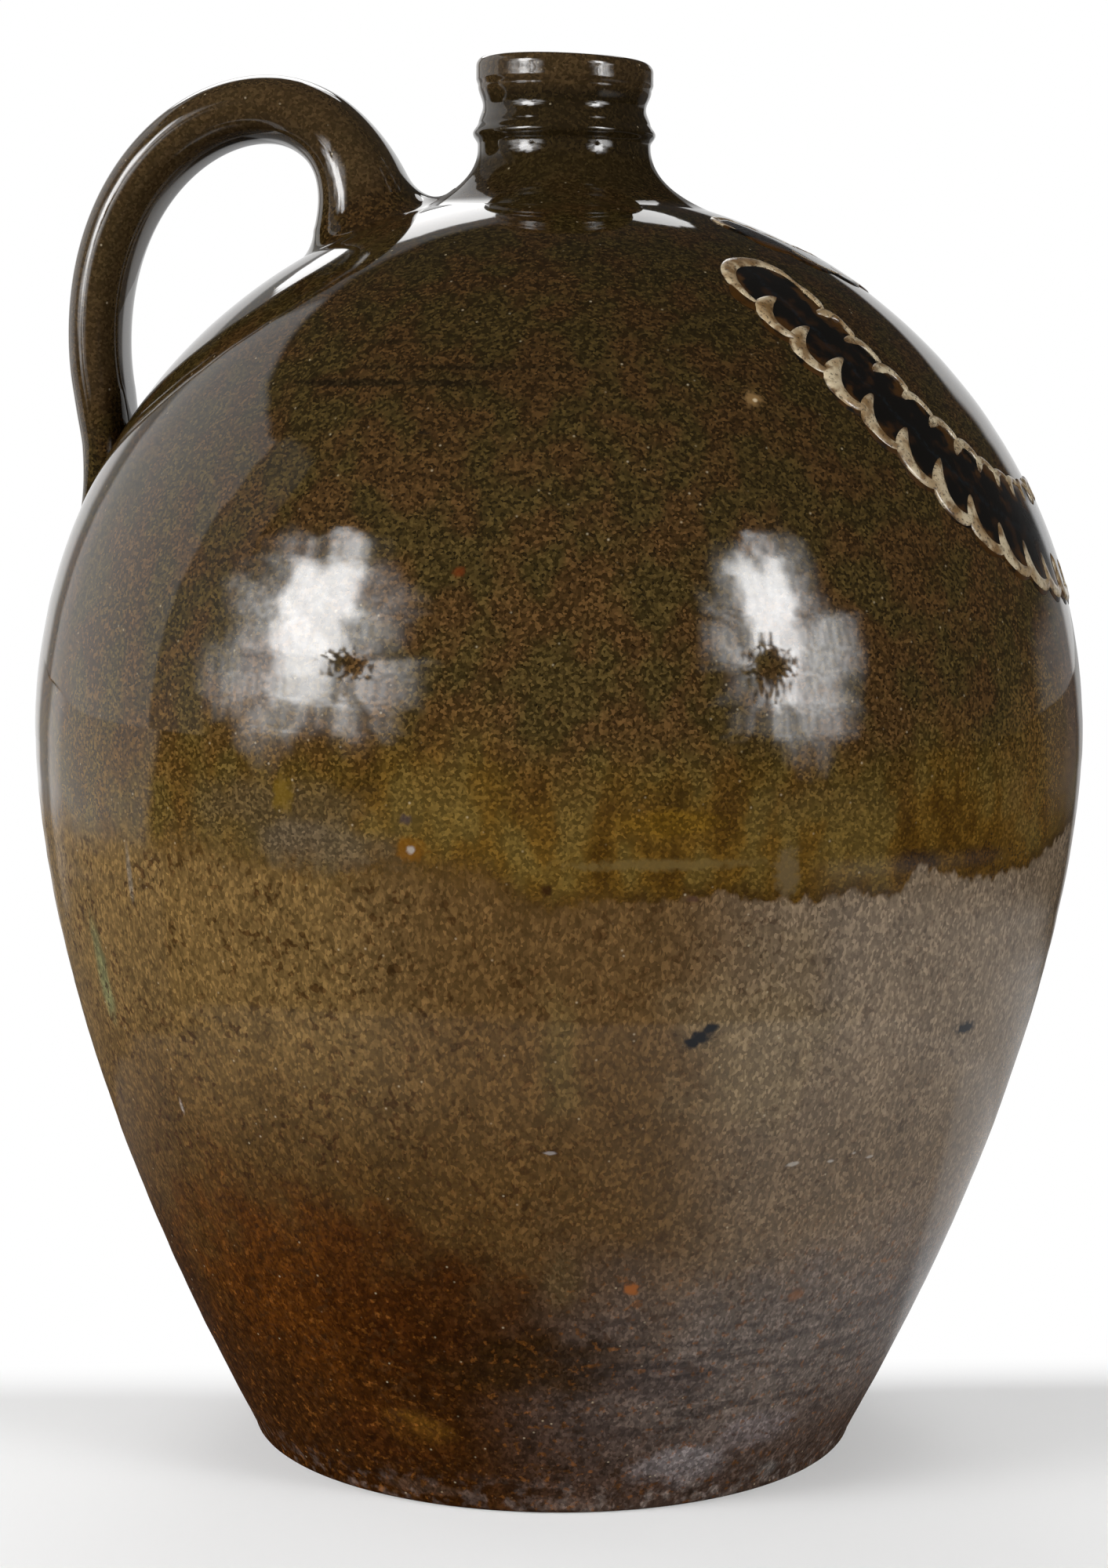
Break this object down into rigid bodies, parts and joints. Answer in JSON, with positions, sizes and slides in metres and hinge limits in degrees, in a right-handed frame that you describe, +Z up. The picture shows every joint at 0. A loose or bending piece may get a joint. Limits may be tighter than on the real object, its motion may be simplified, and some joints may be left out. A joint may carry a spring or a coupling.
{
  "type": "jug",
  "caption": "Ovoid stoneware jug with a short ringed neck, a pulled strap handle on the shoulder and raised slip trailing, for storing and pouring liquids.",
  "frame": {"origin": "centre of the foot, on the plane that the jug stands on", "axes": "+Z up along the jug's axis; the handle lies towards -X and the slip trailing towards +X"},
  "size_m": [0.326, 0.326, 0.43],
  "materials": {
    "lower_glaze": "glossy",
    "upper_glaze": "glossy",
    "iron_slip": "glossy",
    "cream_slip": "glossy"
  },
  "bodies": {
    "root": {"lower_body": "lower_glaze", "upper_body": "upper_glaze", "neck": "upper_glaze", "handle": "upper_glaze", "lower_swag_fill": "iron_slip", "lower_swag_line": "cream_slip", "upper_swag_fill": "iron_slip", "upper_swag_line": "cream_slip"}
  },
  "joints": []
}
